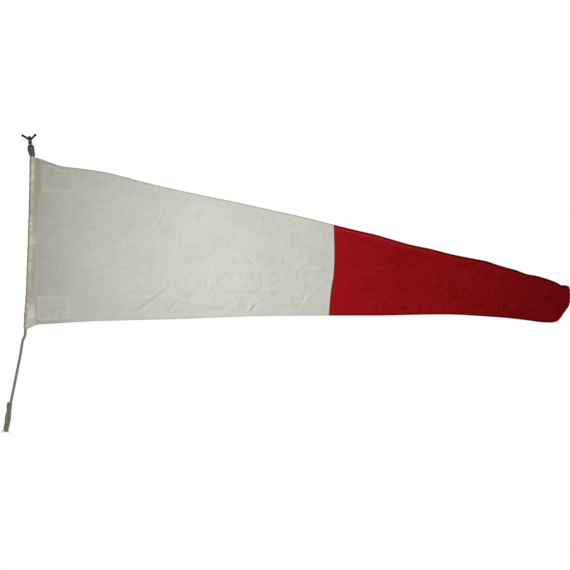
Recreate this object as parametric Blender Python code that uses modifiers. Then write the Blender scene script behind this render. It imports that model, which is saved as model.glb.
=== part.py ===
"""A naval signal pennant: a white and red bunting flag sewn to a roped canvas heading.

The head of the bolt rope is spliced through a cast flag clip, and the foot runs on as a tail line
with an eye at its end. The flag hangs in the XZ plane with the hoist at the left, and +Z is up.
The origin is the centre of the clip's ring, where the halyard holds the pennant up.
Run it with: blender --background --python part.py
"""

import math

import bmesh
import bpy
from mathutils import Matrix, Vector

MM = 0.001
GAP = 0.3 * MM  # clearance between pieces that touch on the real flag

# Flag clip: a ring with a slot for the halyard's clip, and an eye for the bolt rope
CLIP_LEAN = math.radians(-6.5)  # the clip leans with the pull of the line
RING_OUTER = 12.5 * MM
RING_HOLE = 6.8 * MM
RING_THICK = 9.5 * MM
EYE_DROP = 20.3 * MM  # from the ring's centre to the centre of the eye's hole
EYE_OUTER = 10.6 * MM
EYE_HOLE = 5.9 * MM
EYE_THICK = 4.2 * MM
NECK_TOP = 7.5 * MM  # below the ring's centre, where the neck's sides start to spread into shoulders
NECK_FOOT = 14.0 * MM
NECK_WIDTH = (8.8 * MM, 15.0 * MM)  # at the neck's top and foot
NECK_DEPTH = 8.0 * MM
SLOT_WIDTH = 4.2 * MM
SLOT_AT = math.radians(28)  # where the slot crosses the ring, above the +Y side
SLOT_SKEW = math.radians(38)  # how far the slot turns from the radial direction
CLIP_EDGE = 1.1 * MM

# Black hanging cord, reeved through the ring with a stopper knot on each end
HANG_RADIUS = 3.2 * MM
HANG_ROUTE = [(-0.0205, 0.0120), (-0.0140, 0.0082), (-0.0090, 0.0051), (-0.0050, 0.0020), (-0.0010, 0.0016),
              (0.0025, 0.0017), (0.0052, 0.0026), (0.0085, 0.0062), (0.0120, 0.0098), (0.0150, 0.0130)]
KNOT_RADIUS = 4.6 * MM

# Bolt rope: the hoist line as (x, z) from the foot up, then the eye at its head
ROPE_RADIUS = 4.5 * MM
HOIST_LINE = [(-0.0155, -0.6640), (-0.0151, -0.6540), (-0.0130, -0.6110), (-0.0095, -0.5690),
              (-0.0065, -0.5270), (-0.0048, -0.4640), (-0.0023, -0.4010), (0.0001, -0.3380), (0.0018, -0.2740),
              (0.0042, -0.1900), (0.0053, -0.1270), (0.0056, -0.0640)]
HEAD_RISE = [(0.0046, -0.0590), (0.0030, -0.0530), (0.0008, -0.0460), (-0.0014, -0.0390), (-0.0034, -0.0320)]
EYE_CENTRE = (0.0032, -0.02695)
EYE_RADIUS = 7.3 * MM
HEAD_FALL = [(0.0104, -0.0320), (0.0108, -0.0390), (0.0118, -0.0460), (0.0128, -0.0530), (0.0143, -0.0600)]
SEIZING_TOP = -0.0325
SEIZING_FOOT = -0.0545
SEIZING_THICK = 1.2 * MM

# Canvas heading, folded round the bolt rope
CANVAS = 0.8 * MM
SLEEVE_RADIUS = 6.4 * MM  # to the middle of the canvas
SLEEVE_HALF_GAP = 0.7 * MM  # from the middle plane to the middle of each canvas layer
SLEEVE_TOP = -0.0618  # at the rope
SLEEVE_FOOT = -0.6625
HEADING_TOP = (0.0410, -0.0700)  # corners of the heading's inner edge
HEADING_FOOT = (0.0200, -0.6496)

# Flag outline as (x, z), from the heading to the fly
TOP_EDGE = [(0.0410, -0.0700), (0.1064, -0.0917), (0.2639, -0.1141), (0.4214, -0.1547), (0.6839, -0.2118),
            (0.9989, -0.2814), (1.2614, -0.3472), (1.5239, -0.4102), (1.7339, -0.4673), (1.8855, -0.5152)]
FOOT_EDGE = [(0.0200, -0.6496), (0.1589, -0.6398), (0.3164, -0.6332), (0.5264, -0.6279), (0.7364, -0.6195),
             (1.0479, -0.6153), (1.2964, -0.6132), (1.5239, -0.6146), (1.7444, -0.6321), (1.8459, -0.6363)]
SEAM_TOP_X = 1.0777  # the line where the flag folds, just past the seam between the colours
SEAM_FOOT_X = 1.0654
FLY_TOP_X = 1.8855
FLY_FOOT_X = 1.8459
FLY_BULGE = 21 * MM

BUNTING = 1.0 * MM
TOP_TABLING = 17 * MM
FOOT_TABLING = 28 * MM
FLY_TABLING = 16 * MM
TABLING_THICK = 1.8 * MM
SEAM_WIDTH = 12 * MM
PATCH_THICK = 0.8 * MM
PATCH_LENGTH = 119 * MM
UPPER_PATCH_FOOT = -0.1840
LOWER_PATCH_TOP = -0.5450
HEADING_CLEAR = 2.0 * MM  # from the fold line at the heading to the bunting, so that it can fold
PATCH_CLEAR = 4.0 * MM
SEAM_CLEAR = 4.4 * MM
FLY_CLEAR = 1.0 * MM  # from the other tablings to the rounded one at the fly

# How far the cloth stands out of its plane
WHITE_BELLY = 15 * MM
RED_BELLY = 13 * MM

# Tail line as (x, z): it swings from its first point, straight under the bolt rope, and then sets to the left
TAIL_ROUTE = [(-0.0156, -0.6690), (-0.0162, -0.6760), (-0.0168, -0.6860), (-0.0215, -0.6965), (-0.0254, -0.7060),
              (-0.0288, -0.7270), (-0.0339, -0.7590), (-0.0402, -0.7900), (-0.0466, -0.8220), (-0.0529, -0.8540),
              (-0.0592, -0.8850), (-0.0660, -0.9170)]
TAIL_NECK = 0.78  # share of its radius that the rope keeps where it is spliced and seized
TAIL_EYE_ROUTE = [(-0.0661, -0.9175, 1), (-0.0672, -0.9240, 0.84), (-0.0680, -0.9300, TAIL_NECK),
                  (-0.0686, -0.9430, TAIL_NECK), (-0.0692, -0.9540, 0.92), (-0.0700, -0.9650, 1),
                  (-0.0708, -0.9765, 1), (-0.0732, -0.9905, 1), (-0.0760, -1.0046, 1), (-0.0790, -1.0150, 1),
                  (-0.0804, -1.0192, 1), (-0.0840, -1.0212, 1), (-0.0876, -1.0192, 1), (-0.0888, -1.0150, 1),
                  (-0.0860, -1.0046, 1), (-0.0845, -0.9905, 1), (-0.0834, -0.9765, 1), (-0.0808, -0.9650, 1),
                  (-0.0781, -0.9540, 0.9), (-0.0766, -0.9430, TAIL_NECK), (-0.0758, -0.9300, TAIL_NECK),
                  (-0.0752, -0.9215, TAIL_NECK)]
TAIL_SEIZING_TOP = -0.9260
TAIL_SEIZING_FOOT = -0.9460
TWINE_RADIUS = 0.6 * MM
LEFT_TWINE = [(-0.0945, -1.0175), (-0.0965, -1.0215), (-0.0995, -1.0258), (-0.1035, -1.0295)]
RIGHT_TWINE = [(-0.0735, -1.0170), (-0.0732, -1.0210), (-0.0738, -1.0255), (-0.0748, -1.0300)]

COLOURS = {
    "cast_metal": ((0.11, 0.13, 0.135), 0.42, 0.9),
    "black_cord": ((0.008, 0.008, 0.009), 0.8, 0.0),
    "hemp_rope": ((0.30, 0.28, 0.21), 0.9, 0.0),
    "dark_twine": ((0.09, 0.08, 0.065), 0.85, 0.0),
    "heading_canvas": ((0.52, 0.49, 0.37), 0.9, 0.0),
    "white_bunting": ((0.66, 0.67, 0.61), 0.9, 0.0),
    "red_bunting": ((0.35, 0.012, 0.016), 0.9, 0.0),
}


def clear_scene():
    for obj in list(bpy.data.objects):
        bpy.data.objects.remove(obj, do_unlink=True)


def new_collection(name):
    collection = bpy.data.collections.new(name)
    bpy.context.scene.collection.children.link(collection)
    return collection


def material(name):
    if name in bpy.data.materials:
        return bpy.data.materials[name]
    colour, roughness, metallic = COLOURS[name]
    made = bpy.data.materials.new(name)
    made.use_nodes = True
    shader = made.node_tree.nodes["Principled BSDF"]
    shader.inputs["Base Color"].default_value = (*colour, 1)
    shader.inputs["Roughness"].default_value = roughness
    shader.inputs["Metallic"].default_value = metallic
    return made


def mesh_object(name, bm, slot, collection):
    mesh = bpy.data.meshes.new(name)
    bmesh.ops.recalc_face_normals(bm, faces=bm.faces)
    bm.to_mesh(mesh)
    bm.free()
    obj = bpy.data.objects.new(name, mesh)
    collection.objects.link(obj)
    mesh.materials.append(material(slot))
    mesh.shade_smooth()
    mesh.set_sharp_from_angle(angle=math.radians(35))
    return obj


def lerp(a, b, t):
    return a + (b - a) * t


def smooth(t):
    t = min(1.0, max(0.0, t))
    return t * t * (3 - 2 * t)


def through(points, t):
    """The point at t, from 0 to 1, on a smooth curve through the points."""
    last = len(points) - 1
    i = min(int(t * last), last - 1)
    f = t * last - i
    a, b, c, d = (points[min(max(k, 0), last)] for k in (i - 1, i, i + 1, i + 2))
    weights = (-f + 2 * f * f - f**3, 2 - 5 * f * f + 3 * f**3, f + 4 * f * f - 3 * f**3, f**3 - f * f)
    return tuple(0.5 * sum(w * p[k] for w, p in zip(weights, (a, b, c, d))) for k in range(len(a)))


def height_at(edge, x):
    """The z of an edge, given as (x, z) points in order of x, with slopes that keep it smooth."""
    i = max(0, min(len(edge) - 2, sum(p[0] <= x for p in edge) - 1))
    slopes = [(b[1] - a[1]) / (b[0] - a[0]) for a, b in zip(edge, edge[1:])]
    (x0, z0), (x1, z1) = edge[i], edge[i + 1]
    before = slopes[max(i - 1, 0)]
    after = slopes[min(i + 1, len(slopes) - 1)]
    m0, m1 = (before + slopes[i]) / 2, (slopes[i] + after) / 2
    width = x1 - x0
    t = (x - x0) / width
    return ((2 * t**3 - 3 * t * t + 1) * z0 + (t**3 - 2 * t * t + t) * width * m0
            + (3 * t * t - 2 * t**3) * z1 + (t**3 - t * t) * width * m1)


# --- the cloth's surface: s runs 0 at the heading, 1 at the seam's fold, 2 at the fly; v from foot to top


def edge_x(s, at_heading, at_seam, at_fly):
    return lerp(at_heading, at_seam, s) if s <= 1 else lerp(at_seam, at_fly, s - 1)


def edges_at(s):
    foot_x = edge_x(s, HEADING_FOOT[0], SEAM_FOOT_X, FLY_FOOT_X)
    top_x = edge_x(s, HEADING_TOP[0], SEAM_TOP_X, FLY_TOP_X)
    return (foot_x, height_at(FOOT_EDGE, foot_x)), (top_x, height_at(TOP_EDGE, top_x))


def belly(s, v):
    """How far the cloth stands out along Y. It is flat, and level, along both fold lines."""
    if s <= 1:
        swell = math.sin(math.pi * s) ** 2
        return WHITE_BELLY * swell * math.sin(2.3 * math.pi * s + 0.9 * v)
    return RED_BELLY * smooth((s - 1) * 2) * math.sin(2.1 * math.pi * (s - 1) - 0.8 * v)


def flag_point(s, v, off=0.0):
    foot, top = edges_at(s)
    bulge = FLY_BULGE * math.sin(math.pi * v) * smooth((s - 1.8) / 0.2)
    return Vector((lerp(foot[0], top[0], v) + bulge, belly(s, v) + off, lerp(foot[1], top[1], v)))


def depth_at(s):
    foot, top = edges_at(s)
    return top[1] - foot[1]


def v_of(s, z):
    foot, top = edges_at(s)
    return (z - foot[1]) / (top[1] - foot[1])


def from_heading(distance):
    return distance / (SEAM_TOP_X - HEADING_TOP[0])


def past_seam(distance):
    return 1 + distance / (FLY_TOP_X - SEAM_TOP_X)


def cloth(name, s_range, v_low, v_high, thick, slot, collection, columns, rows, off=0.0):
    """A sheet of cloth between two lengths of the flag and two heights, as a grid with Solidify."""
    bm = bmesh.new()
    bmesh.ops.create_grid(bm, x_segments=columns, y_segments=rows, size=0.5)
    for vert in bm.verts:
        s = lerp(*s_range, vert.co.x + 0.5)
        vert.co = flag_point(s, lerp(v_low(s), v_high(s), vert.co.y + 0.5), off)
    obj = mesh_object(name, bm, slot, collection)
    solidify = obj.modifiers.new("Thickness", "SOLIDIFY")
    solidify.thickness = thick
    solidify.offset = 0
    return obj


def inner_low(s):
    return (FOOT_TABLING + GAP) / depth_at(s)


def inner_high(s):
    return 1 - (TOP_TABLING + GAP) / depth_at(s)


def make_white_half(collection):
    start = from_heading(HEADING_CLEAR)
    fold_side = 1 - from_heading(SEAM_CLEAR)
    seam_side = fold_side - from_heading(SEAM_WIDTH + GAP)
    cloth("white_panel", (start, seam_side), inner_low, inner_high, BUNTING, "white_bunting", collection, 26, 4)
    cloth("panel_seam", (seam_side + from_heading(GAP), fold_side), inner_low, inner_high, TABLING_THICK,
          "white_bunting", collection, 1, 4)
    cloth("white_top_tabling", (start, fold_side), lambda s: 1 - TOP_TABLING / depth_at(s), lambda s: 1.0,
          TABLING_THICK, "white_bunting", collection, 27, 1)
    cloth("white_foot_tabling", (start, fold_side), lambda s: 0.0, lambda s: FOOT_TABLING / depth_at(s),
          TABLING_THICK, "white_bunting", collection, 27, 1)


def make_patches(collection):
    """Square reinforcing patches at both hoist corners, one on each face of the bunting."""
    span = from_heading(PATCH_CLEAR), from_heading(PATCH_LENGTH)
    stand_off = (BUNTING + PATCH_THICK) / 2 + GAP
    for side, sign in (("front", -1), ("back", 1)):
        cloth(f"upper_patch_{side}", span, lambda s: v_of(s, UPPER_PATCH_FOOT), inner_high, PATCH_THICK,
              "white_bunting", collection, 4, 2, sign * stand_off)
        cloth(f"lower_patch_{side}", span, inner_low, lambda s: v_of(s, LOWER_PATCH_TOP), PATCH_THICK,
              "white_bunting", collection, 4, 2, sign * stand_off)


def make_red_half(collection):
    start = past_seam(SEAM_CLEAR)
    fly_side = 2 - (FLY_TABLING + GAP) / (FLY_TOP_X - SEAM_TOP_X)
    cloth("red_panel", (start, fly_side), inner_low, inner_high, BUNTING, "red_bunting", collection, 20, 4)
    cloth("red_top_tabling", (start, fly_side), lambda s: 1 - TOP_TABLING / depth_at(s), lambda s: 1.0,
          TABLING_THICK, "red_bunting", collection, 20, 1)
    cloth("red_foot_tabling", (start, fly_side), lambda s: 0.0, lambda s: FOOT_TABLING / depth_at(s),
          TABLING_THICK, "red_bunting", collection, 20, 1)
    cloth("fly_tabling", (fly_side + FLY_CLEAR / (FLY_TOP_X - SEAM_TOP_X), 2), lambda s: 0.0, lambda s: 1.0,
          TABLING_THICK, "red_bunting", collection, 1, 6)


# --- rope, cord and seizings


def tube(name, points, radius, slot, collection, sides=2):
    """A rope or cord along points in the XZ plane; a third number in a point is its share of the radius."""
    curve = bpy.data.curves.new(name, "CURVE")
    curve.dimensions = "3D"
    curve.bevel_depth = radius
    curve.bevel_resolution = sides
    curve.use_fill_caps = True
    spline = curve.splines.new("POLY")
    spline.points.add(len(points) - 1)
    for place, point in zip(spline.points, points):
        place.co = (point[0], 0, point[1], 1)
        place.radius = point[2] if len(point) > 2 else 1
    obj = bpy.data.objects.new(name, curve)
    curve.materials.append(material(slot))
    collection.objects.link(obj)
    return obj


def resampled(points, count):
    return [through(points, i / (count - 1)) for i in range(count)]


def head_eye_arc():
    """The rope's turn over the clip's bar, from the left leg to the right one."""
    return [(EYE_CENTRE[0] - EYE_RADIUS * math.cos(a), EYE_CENTRE[1] + EYE_RADIUS * math.sin(a))
            for a in (math.pi * k / 8 for k in range(9))]


def make_bolt_rope(collection):
    route = HOIST_LINE + HEAD_RISE + head_eye_arc() + HEAD_FALL
    tube("bolt_rope", route, ROPE_RADIUS, "hemp_rope", collection)


def seizing(name, left_at, right_at, rope_radius, top, foot, slot, collection):
    """Twine bound round two ropes side by side: a stadium section that follows both ropes."""
    rings, around = 4, 16
    bm = bmesh.new()
    bmesh.ops.create_cone(bm, cap_ends=False, segments=around, radius1=1, radius2=1, depth=1)
    bmesh.ops.subdivide_edges(
        bm, edges=[e for e in bm.edges if abs(e.verts[0].co.z - e.verts[1].co.z) > 0.5], cuts=rings - 1)
    reach = rope_radius + 2 * GAP + SEIZING_THICK / 2
    for vert in bm.verts:
        z = lerp(foot, top, vert.co.z + 0.5)
        side = left_at(z) if vert.co.x < 0 else right_at(z)
        if abs(vert.co.x) < 1e-6:
            side = (left_at(z) + right_at(z)) / 2
        vert.co = (side + vert.co.x * reach, vert.co.y * reach, z)
    obj = mesh_object(name, bm, slot, collection)
    solidify = obj.modifiers.new("Turns", "SOLIDIFY")
    solidify.thickness = SEIZING_THICK
    solidify.offset = 0
    return obj


def x_on(points, z):
    """The x of a route, given as (x, z) points that only rise or only fall, at a height."""
    ordered = sorted((p[:2] for p in points), key=lambda p: p[1])
    for (x0, z0), (x1, z1) in zip(ordered, ordered[1:]):
        if z <= z1:
            return lerp(x0, x1, (z - z0) / (z1 - z0))
    return ordered[-1][0]


def make_seizings(collection):
    seizing("head_seizing", lambda z: x_on(HEAD_RISE, z), lambda z: x_on(HEAD_FALL, z),
            ROPE_RADIUS, SEIZING_TOP, SEIZING_FOOT, "dark_twine", collection)
    turn = TAIL_EYE_ROUTE.index(min(TAIL_EYE_ROUTE, key=lambda p: p[1]))
    seizing("tail_seizing", lambda z: x_on(TAIL_EYE_ROUTE[turn:], z), lambda z: x_on(TAIL_EYE_ROUTE[:turn + 1], z),
            TAIL_NECK * ROPE_RADIUS, TAIL_SEIZING_TOP, TAIL_SEIZING_FOOT, "hemp_rope", collection)


def make_tail(collection):
    pivot = TAIL_ROUTE[0]
    rounded_top = [(pivot[0], pivot[1] + ROPE_RADIUS * math.sin(a), math.cos(a))
                   for a in (math.radians(d) for d in (75, 50, 25))]
    tube("tail_line", rounded_top + resampled(TAIL_ROUTE, 24), ROPE_RADIUS, "hemp_rope", collection)
    tube("tail_eye", resampled(TAIL_EYE_ROUTE, 50), ROPE_RADIUS, "hemp_rope", collection)
    tube("left_twine_end", LEFT_TWINE, TWINE_RADIUS, "hemp_rope", collection, sides=1)
    tube("right_twine_end", RIGHT_TWINE, TWINE_RADIUS, "hemp_rope", collection, sides=1)


def make_hanging_cord(collection):
    tube("hanging_cord", resampled(HANG_ROUTE, 17), HANG_RADIUS, "black_cord", collection)
    for name, end, before in (("left_stopper_knot", 0, 1), ("right_stopper_knot", -1, -2)):
        tip, inner = Vector(HANG_ROUTE[end]), Vector(HANG_ROUTE[before])
        centre = tip + (tip - inner).normalized() * (KNOT_RADIUS + GAP)
        bm = bmesh.new()
        bmesh.ops.create_uvsphere(bm, u_segments=14, v_segments=9, radius=KNOT_RADIUS)
        bmesh.ops.translate(bm, verts=bm.verts, vec=(centre.x, 0, centre.y))
        mesh_object(name, bm, "black_cord", collection)


# --- heading


def fold_x(z):
    """The x of the heading's inner edge, where the bunting folds."""
    t = (z - HEADING_FOOT[1]) / (HEADING_TOP[1] - HEADING_FOOT[1])
    return lerp(HEADING_FOOT[0], HEADING_TOP[0], t)


def sleeve_section(u):
    """(share of the tongue's width, offsets along X and Y) at u, which runs from edge to edge round the rope."""
    straight = 0.15
    start = math.asin(SLEEVE_HALF_GAP / SLEEVE_RADIUS)
    if u < straight or u > 1 - straight:
        share = (straight - min(u, 1 - u)) / straight
        return share, SLEEVE_RADIUS * math.cos(start), SLEEVE_HALF_GAP * (-1 if u < straight else 1)
    angle = lerp(start, 2 * math.pi - start, (u - straight) / (1 - 2 * straight))
    return 0.0, SLEEVE_RADIUS * math.cos(angle), -SLEEVE_RADIUS * math.sin(angle)


def make_heading(collection):
    """Canvas folded round the bolt rope, its two layers reaching to where the bunting folds."""
    columns, rows = 20, 16
    bm = bmesh.new()
    bmesh.ops.create_grid(bm, x_segments=columns, y_segments=rows, size=0.5)
    for vert in bm.verts:
        tongue, across, out = sleeve_section(vert.co.x + 0.5)
        top = lerp(SLEEVE_TOP, HEADING_TOP[1], tongue)
        foot = lerp(SLEEVE_FOOT, HEADING_FOOT[1], tongue)
        z = lerp(foot, top, vert.co.y + 0.5)
        rope_x = x_on(HOIST_LINE[1:] + HEAD_RISE[:1], z)
        x = lerp(rope_x + across, fold_x(z) - HEADING_CLEAR, tongue)
        vert.co = (x, out, z)
    obj = mesh_object("heading_sleeve", bm, "heading_canvas", collection)
    solidify = obj.modifiers.new("Canvas", "SOLIDIFY")
    solidify.thickness = CANVAS
    solidify.offset = 0
    return obj


# --- clip


def disc(name, radius, thick, drop, collection, helper):
    """A disc in the clip's plane, its axis along X, drop below the ring's centre."""
    bm = bmesh.new()
    turn = Matrix.Translation((0, 0, -drop)) @ Matrix.Rotation(math.pi / 2, 4, "Y")
    bmesh.ops.create_cone(bm, cap_ends=True, segments=36, radius1=radius, radius2=radius, depth=thick, matrix=turn)
    obj = mesh_object(name, bm, "cast_metal", collection)
    if helper:
        obj.hide_render = True
        obj.display_type = "WIRE"
    return obj


def boolean(obj, other, operation):
    modifier = obj.modifiers.new(f"{operation} {other.name}", "BOOLEAN")
    modifier.operation = operation
    modifier.object = other


def neck_block(collection):
    """The shoulders between ring and eye, wider towards the eye."""
    bm = bmesh.new()
    middle = Matrix.Translation((0, 0, -(NECK_TOP + NECK_FOOT) / 2))
    bmesh.ops.create_cube(bm, size=1, matrix=middle @ Matrix.Diagonal((1, NECK_DEPTH, NECK_FOOT - NECK_TOP, 1)))
    for vert in bm.verts:
        at_foot = vert.co.z < middle.translation.z
        vert.co.x *= NECK_WIDTH[1 if at_foot else 0]
    obj = mesh_object("clip_neck", bm, "cast_metal", collection)
    obj.hide_render = True
    obj.display_type = "WIRE"
    return obj


def make_clip(collection, cutters):
    clip = disc("flag_clip", RING_OUTER, RING_THICK, 0, collection, helper=False)
    eye = disc("clip_eye_disc", EYE_OUTER, EYE_THICK, EYE_DROP, cutters, helper=True)
    ring_hole = disc("clip_ring_hole", RING_HOLE, 3 * RING_THICK, 0, cutters, helper=True)
    eye_hole = disc("clip_eye_hole", EYE_HOLE, 3 * RING_THICK, EYE_DROP, cutters, helper=True)
    bm = bmesh.new()
    bmesh.ops.create_cube(bm, size=1, matrix=(
        Matrix.Rotation(SLOT_AT, 4, "X") @ Matrix.Translation((0, RING_OUTER - 2 * MM, 0))
        @ Matrix.Rotation(SLOT_SKEW, 4, "X") @ Matrix.Diagonal((3 * RING_THICK, 14 * MM, SLOT_WIDTH, 1))))
    slot = mesh_object("clip_slot", bm, "cast_metal", cutters)
    slot.hide_render = True
    slot.display_type = "WIRE"
    neck = neck_block(cutters)
    boolean(clip, eye, "UNION")
    boolean(clip, neck, "UNION")
    for cutter in (ring_hole, eye_hole, slot):
        boolean(clip, cutter, "DIFFERENCE")
    bevel = clip.modifiers.new("Cast edge", "BEVEL")
    bevel.width = CLIP_EDGE
    bevel.segments = 1
    bevel.angle_limit = math.radians(50)
    for obj in (clip, eye, neck, ring_hole, eye_hole, slot):
        obj.rotation_euler.y = CLIP_LEAN


def main():
    clear_scene()
    parts = new_collection("Signal pennant")
    cutters = new_collection("Cutters")
    make_clip(parts, cutters)
    make_hanging_cord(parts)
    make_bolt_rope(parts)
    make_heading(parts)
    make_seizings(parts)
    make_white_half(parts)
    make_patches(parts)
    make_red_half(parts)
    make_tail(parts)


main()
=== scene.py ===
"""Looks of the signal pennant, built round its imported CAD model.

One surface function gives the bunting's belly, creases and puckers. The panels, hems, patches, seam and
stitches are all laid on it, so that they meet. Rope, cord, seizings and knots are swept along routes.
"""

import math

import bpy
import numpy as np
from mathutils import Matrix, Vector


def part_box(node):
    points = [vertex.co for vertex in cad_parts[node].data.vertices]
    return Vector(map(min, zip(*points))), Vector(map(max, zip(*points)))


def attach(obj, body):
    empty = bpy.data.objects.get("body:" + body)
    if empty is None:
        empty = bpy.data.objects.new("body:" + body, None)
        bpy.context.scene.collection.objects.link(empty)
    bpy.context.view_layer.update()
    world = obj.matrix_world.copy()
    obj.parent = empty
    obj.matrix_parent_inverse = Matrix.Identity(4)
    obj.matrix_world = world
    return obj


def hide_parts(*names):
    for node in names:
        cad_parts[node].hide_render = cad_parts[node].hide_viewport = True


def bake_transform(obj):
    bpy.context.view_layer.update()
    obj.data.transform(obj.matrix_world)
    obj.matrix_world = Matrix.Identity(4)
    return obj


MM = 0.001
RANDOM_SEED = 11


def in_metres(rows, places=2):
    """Rows of numbers whose first few are places in millimetres, with those in metres."""
    return [tuple(n * MM for n in row[:places]) + row[places:] for row in rows]


# Heading: the line of the bolt rope as (x, z) from the foot up, and the inner edge where the bunting folds
ROPE_LINE = in_metres([
    (-15.5, -664), (-15.1, -654), (-13, -611), (-9.5, -569), (-6.5, -527), (-4.8, -464), (-2.3, -401),
    (0.1, -338), (1.8, -274), (4.2, -190), (5.3, -127), (5.6, -64)])
HEADING_LINE = in_metres([(20, -649.6), (41, -70)])
HEADING_TOP_EDGE = in_metres([(-3, -60.2), (12, -59.6), (17, -61), (36.5, -67.2), (43, -69.7)])
HEADING_FOOT_EDGE = in_metres([(-23, -665), (-11, -664.2), (8.4, -655.5), (20, -650.5), (25, -649)])
SLEEVE_RADIUS = 6.8 * MM
CANVAS_HALF = 1.3 * MM  # half the thickness of the flat part of the heading

# Flag outline as (x, z)
TOP_EDGE = in_metres([
    (36.5, -67.2), (57.6, -75.5), (78.6, -82.5), (106.7, -92), (159.4, -99), (212, -106), (264.7, -114),
    (317.3, -127), (422.6, -155), (527.9, -179.7), (633.2, -201.8), (738.5, -222.9), (843.8, -246.4),
    (949.1, -269.2), (1054.4, -295.5), (1159.7, -321), (1214.2, -333.3), (1265, -348), (1319, -363.5),
    (1370, -375.2), (1390, -379), (1475.6, -400.4), (1580.9, -422), (1600, -425.9), (1635, -437.6),
    (1670, -448.4), (1705.5, -458.2), (1740.6, -471.5), (1775.7, -477.8), (1791.5, -482.2), (1846, -501.2),
    (1853, -504.5), (1861, -509.8), (1876, -510.8), (1890.8, -514)])
FOOT_EDGE = in_metres([
    (8.4, -655.5), (26, -648.6), (54, -646.5), (106.7, -643), (212, -637), (317, -634), (422.6, -631),
    (527.9, -628.6), (633, -624), (738.5, -620), (843.8, -617.8), (1048.8, -616.8), (1265, -616.2),
    (1370, -614), (1475.6, -613), (1580.9, -618.5), (1686, -626.5), (1749, -634), (1800, -640.6),
    (1833.6, -641.6)])
FLY_EDGE = in_metres([
    (1833.6, -641.6), (1852, -636.5), (1864, -624), (1874, -609), (1888, -590), (1894, -576),
    (1896.2, -556), (1895.5, -534), (1890.8, -514)])
SEAM_LINE = in_metres([
    (1048.8, -616.8), (1053, -555.3), (1057.2, -520.2), (1065, -478), (1068, -425.4), (1068, -380),
    (1065.6, -298.5)])
SEAM_FOOT, SEAM_TOP = SEAM_LINE[0], SEAM_LINE[-1]

# The lines on which the flag folds, as (x, z) from foot to top
SEAM_FOLD = in_metres([(1065.4, -615.1), (1077.7, -300.7)])
FLY_LINE = in_metres([(1845.9, -636.3), (1885.5, -515.2)])

WHITE_BELLY = 15 * MM
RED_BELLY = 13 * MM
BUNTING = 0.7 * MM
TOP_HEM = 17 * MM
FOOT_HEM = 28 * MM
FLY_HEM = 15 * MM
SEAM_WIDTH = 12 * MM
PATCH_THICK = 0.6 * MM
PATCH_SIZE = (118, 88)  # in millimetres
UPPER_PATCH = in_metres([(40, 158), (-185, -85)])  # ranges of x and z, before the patch leans with the hoist
LOWER_PATCH = in_metres([(22.5, 141.5), (-637, -545.8)])
FLAT_FACE = BUNTING / 2 + 0.05 * MM  # how far stitches lie from the middle of the bunting, on a flat face
FOLDED_FACE = BUNTING / 2 + 0.8 * MM  # and on the face of a hem that is folded over
HEM_PUCKER = 0.14 * MM
EDGE_SOIL_AND_SHADE_WIDTH = 4 * MM
SMALL_CREASES = 380  # how many short creases are scattered over the flag
FLY_HALF = 1.06  # the x from which small creases are the red half's: flatter and deeper
HOIST_LEAN = 0.036  # run of the heading along X for each unit of height

# Creases: x and z of both ends, how far the cloth stands out (towards the front if positive) and the width
CREASES = in_metres([
    (480, -242, 440, -317, -0.8, 5), (471, -245, 430, -317, 0.9, 6), (550, -213, 520, -246, -0.7, 5),
    (480, -524, 372, -599, -1.2, 5), (470, -518, 362, -594, 0.9, 7), (735, -408, 800, -466, 1.3, 5),
    (742, -402, 790, -446, -0.8, 5), (891, -415, 889, -442, -1.1, 4), (850, -463, 882, -493, -1.0, 4),
    (795, -577, 762, -609, -1.3, 5), (787, -574, 754, -606, 0.8, 5), (767, -563, 772, -600, 1.4, 4),
    (745, -560, 757, -604, -0.9, 5), (800, -560, 829, -600, 1.0, 5), (619, -463, 621, -525, -0.9, 5),
    (640, -440, 652, -500, 0.7, 6), (809, -470, 811, -525, -0.8, 5), (150, -545, 560, -543, -0.45, 4),
    (540, -541, 850, -540, -0.5, 4), (75, -312, 300, -318, -0.5, 4), (46, -585, 80, -594, 1.1, 4),
    (78, -594, 138, -580, 1.3, 4), (58, -549, 68, -566, 0.7, 5), (98, -556, 90, -575, 0.7, 4),
    (40, -106, 74, -144, 1.3, 5), (52, -130, 60, -170, 0.8, 4), (92, -150, 102, -166, 0.9, 4),
    (110, -186, 150, -240, 0.8, 5), (900, -545, 1040, -585, 0.8, 7), (930, -500, 1045, -520, 0.7, 7),
    (960, -455, 1050, -462, 0.6, 6), (330, -200, 300, -290, 0.6, 7), (1120, -456, 1208, -444, -1.0, 5),
    (1200, -444, 1345, -432, -0.9, 5), (1254, -420, 1354, -430, -1.1, 5), (1377, -411, 1437, -430, -1.7, 6),
    (1430, -428, 1480, -452, -1.8, 6), (1500, -452, 1585, -437, -1.7, 6), (1523, -467, 1560, -504, 1.6, 5),
    (1462, -483, 1428, -522, -1.1, 7), (1160, -535, 1222, -532, -1.1, 4), (1436, -561, 1556, -558, -1.7, 5),
    (1421, -577, 1456, -598, 1.6, 5), (1538, -600, 1615, -583, -2.0, 6), (1580, -606, 1660, -590, 1.4, 6),
    (1745, -530, 1845, -541, 3.0, 13), (1790, -562, 1862, -566, -2.4, 9), (1690, -500, 1760, -545, 1.2, 8),
    (1100, -350, 1210, -372, -0.8, 6), (1290, -395, 1380, -402, 0.9, 6), (1090, -580, 1240, -584, 0.9, 6),
    (1620, -470, 1700, -520, -1.0, 7)], places=4)

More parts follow.
